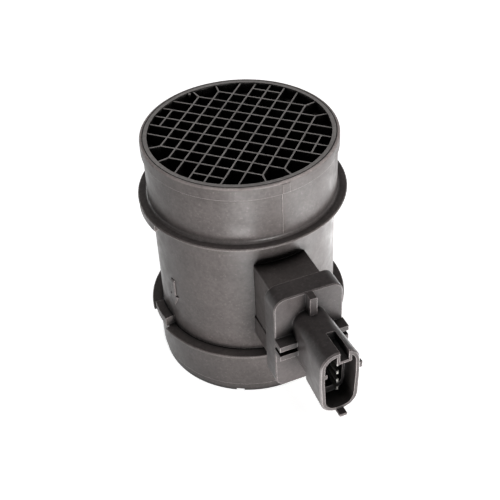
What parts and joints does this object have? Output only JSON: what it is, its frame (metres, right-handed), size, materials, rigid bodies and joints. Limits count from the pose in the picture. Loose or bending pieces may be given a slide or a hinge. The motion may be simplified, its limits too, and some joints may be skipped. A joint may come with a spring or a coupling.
{
  "type": "mass airflow sensor",
  "caption": "Hot-film mass airflow sensor: moulded round duct with an inlet straightening grid, hose beads and a plug-in sensor with an oval connector on its side.",
  "frame": {"origin": "duct axis at the outlet rim", "axes": "+Z along the duct towards the inlet grid, -Y out along the sensor and its connector"},
  "size_m": [0.0759, 0.1203, 0.096],
  "materials": {
    "duct_plastic": "satin moulded, glass-filled polyamide",
    "grid_plastic": "satin moulded",
    "sensor_plastic": "satin moulded, glass-filled polyester",
    "seal_rubber": "matte",
    "plate_metal": "rolled",
    "board_ceramic": "fired ceramic",
    "chip_black": "moulded epoxy",
    "capacitor_body": "fired ceramic",
    "chip_film": "polished silicon",
    "thermistor_glass": "glazed bead",
    "terminal_tin": "tin plated copper alloy"
  },
  "bodies": {
    "root": {"tube_housing": "duct_plastic", "inlet_grid": "grid_plastic", "sensor_body": "sensor_plastic", "body_seal": "seal_rubber", "bypass_cover": "sensor_plastic", "electronics_cover": "sensor_plastic", "base_plate": "plate_metal", "circuit_board": "board_ceramic", "signal_chip": "chip_black", "board_capacitors": "capacitor_body", "board_resistors": "chip_black", "bond_wires": "plate_metal", "chip_holder": "sensor_plastic", "sensor_chip": "chip_film", "thermistor": "thermistor_glass", "thermistor_leads": "terminal_tin", "terminal_1": "terminal_tin", "terminal_2": "terminal_tin", "terminal_3": "terminal_tin", "terminal_4": "terminal_tin", "terminal_5": "terminal_tin"}
  },
  "joints": []
}
